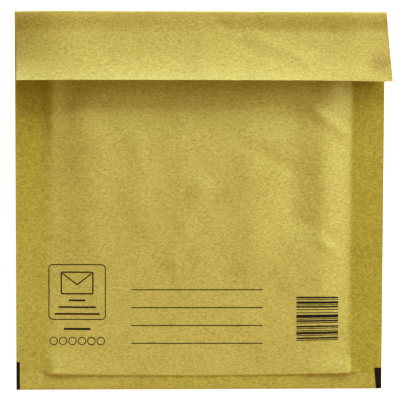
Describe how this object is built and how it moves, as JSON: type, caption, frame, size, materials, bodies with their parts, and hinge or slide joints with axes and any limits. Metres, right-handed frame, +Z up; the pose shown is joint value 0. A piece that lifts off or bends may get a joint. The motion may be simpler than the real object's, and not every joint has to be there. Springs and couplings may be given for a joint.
{
  "type": "padded envelope",
  "caption": "Padded paper mailer lying flat: sealed side seams and bottom margin, a shut pocket, and a self-seal flap folded loosely over the front.",
  "frame": {"origin": "on the floor under the middle of the envelope's outline, flap included", "axes": "+X to the right as the front is looked at, +Y towards the top fold, +Z up out of the front"},
  "size_m": [0.1996, 0.2, 0.0135],
  "materials": {
    "kraft_paper": "golden kraft paper, matt with a faint sheen, darker where the margins are sealed",
    "adhesive": "clear yellowish pressure-sensitive glue",
    "release_paper": "white siliconised paper, satin"
  },
  "bodies": {
    "root": {"padded_envelope": "kraft_paper", "adhesive_strip": "adhesive", "release_liner": "release_paper"}
  },
  "joints": []
}
